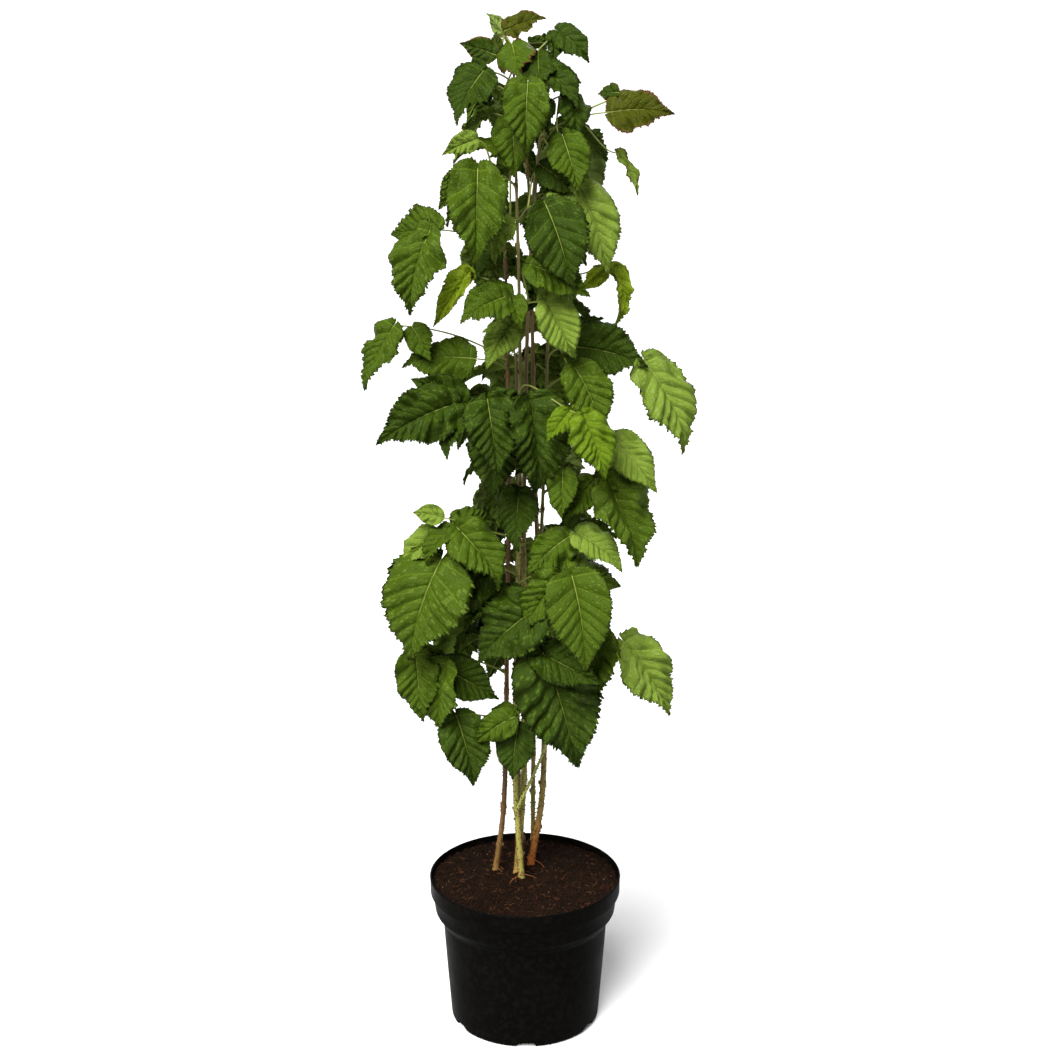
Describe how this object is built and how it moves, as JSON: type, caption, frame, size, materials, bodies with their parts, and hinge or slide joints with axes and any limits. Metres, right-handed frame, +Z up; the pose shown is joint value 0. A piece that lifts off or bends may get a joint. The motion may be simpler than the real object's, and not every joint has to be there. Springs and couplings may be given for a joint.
{
  "type": "raspberry cane in a pot",
  "caption": "Tall raspberry plant in a round black nursery pot: upright bare canes in one bunch, with hanging toothed compound leaves on side shoots all the way up.",
  "frame": {"origin": "middle of the pot's flat underside", "axes": "+Z up along the canes, -Y the side seen in the picture, +X to its right"},
  "size_m": [0.3745, 0.2804, 1.2015],
  "materials": {
    "pot": "satin black moulded plastic, lightly scuffed",
    "compost": "dark brown moist peat compost with crumbs and fibres",
    "canes": "green to brown bark with fine prickles",
    "leaves": "mid to dark green, half matt and deeply veined, paler beneath"
  },
  "bodies": {
    "root": {"cane_back": "canes", "cane_back_right": "canes", "cane_centre": "canes", "cane_front": "canes", "cane_left": "canes", "cane_right": "canes", "compost": "compost", "leaves_back_01": "leaves", "leaves_back_02": "leaves", "leaves_back_03": "leaves", "leaves_back_04": "leaves", "leaves_back_05": "leaves", "leaves_back_06": "leaves", "leaves_back_07": "leaves", "leaves_back_08": "leaves", "leaves_back_09": "leaves", "leaves_back_10": "leaves", "leaves_back_11": "leaves", "leaves_back_12": "leaves", "leaves_centre_deep": "leaves", "leaves_centre_low": "leaves", "leaves_centre_small": "leaves", "leaves_far_left": "leaves", "leaves_far_right": "leaves", "leaves_left_broad": "leaves", "leaves_left_dark": "leaves", "leaves_left_flat": "leaves", "leaves_left_hand": "leaves", "leaves_left_inner": "leaves", "leaves_left_large": "leaves", "leaves_left_middle": "leaves", "leaves_left_shoulder": "leaves", "leaves_low_big": "leaves", "leaves_low_centre": "leaves", "leaves_low_left": "leaves", "leaves_low_right": "leaves", "leaves_low_tail": "leaves", "leaves_lower_right": "leaves", "leaves_mid_centre": "leaves", "leaves_mid_left": "leaves", "leaves_mid_pale": "leaves", "leaves_right_arm": "leaves", "leaves_right_inner": "leaves", "leaves_right_light": "leaves", "leaves_right_pair": "leaves", "leaves_right_small": "leaves", "leaves_right_wing": "leaves", "leaves_right_yellow": "leaves", "leaves_tip_left": "leaves", "leaves_tip_right": "leaves", "leaves_upper_front": "leaves", "leaves_upper_left": "leaves", "leaves_upper_right": "leaves", "pot": "pot"}
  },
  "joints": []
}
